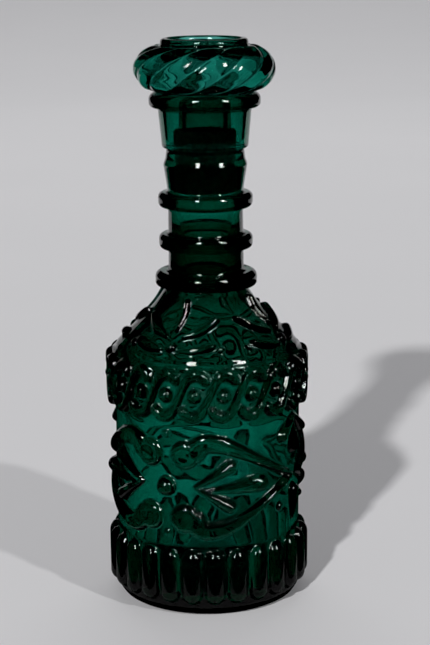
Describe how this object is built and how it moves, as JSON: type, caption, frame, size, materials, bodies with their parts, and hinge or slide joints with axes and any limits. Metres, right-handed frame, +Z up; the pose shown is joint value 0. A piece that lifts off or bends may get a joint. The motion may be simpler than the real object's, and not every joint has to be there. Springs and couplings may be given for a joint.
{
  "type": "stoppered glass decanter",
  "caption": "Tall green glass decanter with a ringed neck, moulded ornament, fluted foot and a hollow swirled stopper in a cork sleeve.",
  "frame": {"origin": "on the table under the bottle's axis", "axes": "+Z up along the bottle's axis, -Y the side seen from the front, +X to its right"},
  "size_m": [0.1026, 0.1026, 0.282],
  "materials": {
    "bottle_glass": "clear dark emerald glass, fire polished",
    "stopper_glass": "clear emerald glass, thinner than the bottle's",
    "cork": "matt natural cork, stained dark by use"
  },
  "bodies": {
    "bottle": {"bottle": "bottle_glass"},
    "cork": {"cork_sleeve": "cork"},
    "stopper": {"stopper": "stopper_glass"}
  },
  "joints": [
    {"name": "stopper_lift", "type": "slide", "parent": "bottle", "child": "cork", "axis": [0, 0, 1], "range_m": [0, 0.06]},
    {"name": "stopper_turn", "type": "hinge", "parent": "cork", "child": "stopper", "pos_m": [0, 0, 0.222], "axis": [0, 0, 1], "continuous": true}
  ]
}
